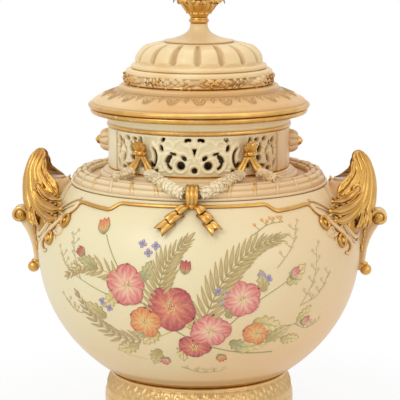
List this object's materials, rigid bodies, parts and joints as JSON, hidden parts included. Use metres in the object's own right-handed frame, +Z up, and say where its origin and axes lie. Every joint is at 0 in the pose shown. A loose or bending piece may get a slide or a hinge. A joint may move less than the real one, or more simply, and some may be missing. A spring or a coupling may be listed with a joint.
{
  "type": "lidded urn",
  "caption": "Lidded porcelain urn on a foot ring, with a pierced collar, gilt leaf handles, an inner lid and a domed gadrooned cover with a bud finial",
  "frame": {"origin": "centre of the foot's underside", "axes": "+Z up through the finial, -Y to the painted front, handles on +X and -X"},
  "size_m": [0.2778, 0.2378, 0.3289],
  "materials": {
    "ivory_porcelain": "satin glazed ivory porcelain",
    "blush_porcelain": "satin blush porcelain with brown tint in the recesses",
    "satin_gilding": "satin gilding fired on porcelain"
  },
  "bodies": {
    "urn": {"foot_ring": "satin_gilding", "bowl": "ivory_porcelain", "shoulder": "blush_porcelain", "reeded_band": "ivory_porcelain", "collar": "ivory_porcelain", "rim": "ivory_porcelain", "panel_frame_front": "satin_gilding", "ribbon_strap_front": "satin_gilding", "frame_scroll_front_left": "satin_gilding", "bow_front_left": "satin_gilding", "festoon_front_left": "ivory_porcelain", "garland_drop_front_left": "ivory_porcelain", "ribbon_tail_front_left": "satin_gilding", "frame_scroll_front_right": "satin_gilding", "bow_front_right": "satin_gilding", "festoon_front_right": "ivory_porcelain", "garland_drop_front_right": "ivory_porcelain", "ribbon_tail_front_right": "satin_gilding", "panel_frame_back": "satin_gilding", "ribbon_strap_back": "satin_gilding", "frame_scroll_back_left": "satin_gilding", "bow_back_left": "satin_gilding", "festoon_back_left": "ivory_porcelain", "garland_drop_back_left": "ivory_porcelain", "ribbon_tail_back_left": "satin_gilding", "frame_scroll_back_right": "satin_gilding", "bow_back_right": "satin_gilding", "festoon_back_right": "ivory_porcelain", "garland_drop_back_right": "ivory_porcelain", "ribbon_tail_back_right": "satin_gilding", "side_boss_left": "blush_porcelain", "handle_left": "satin_gilding", "side_boss_right": "blush_porcelain", "handle_right": "satin_gilding"},
    "inner_lid": {"inner_lid": "ivory_porcelain", "inner_lid_knob": "satin_gilding"},
    "cover": {"cover_flange": "ivory_porcelain", "cover_bezel": "ivory_porcelain", "cover_garland_ring": "blush_porcelain", "cover_dome": "ivory_porcelain", "cover_spire": "blush_porcelain", "finial_ring": "satin_gilding", "finial_calyx": "satin_gilding", "finial_bud": "satin_gilding"}
  },
  "joints": [
    {"name": "inner_lid_lift", "type": "slide", "parent": "urn", "child": "inner_lid", "axis": [0, 0, 1], "range_m": [0, 0.06]},
    {"name": "cover_lift", "type": "slide", "parent": "inner_lid", "child": "cover", "axis": [0, 0, 1], "range_m": [0, 0.06]}
  ]
}
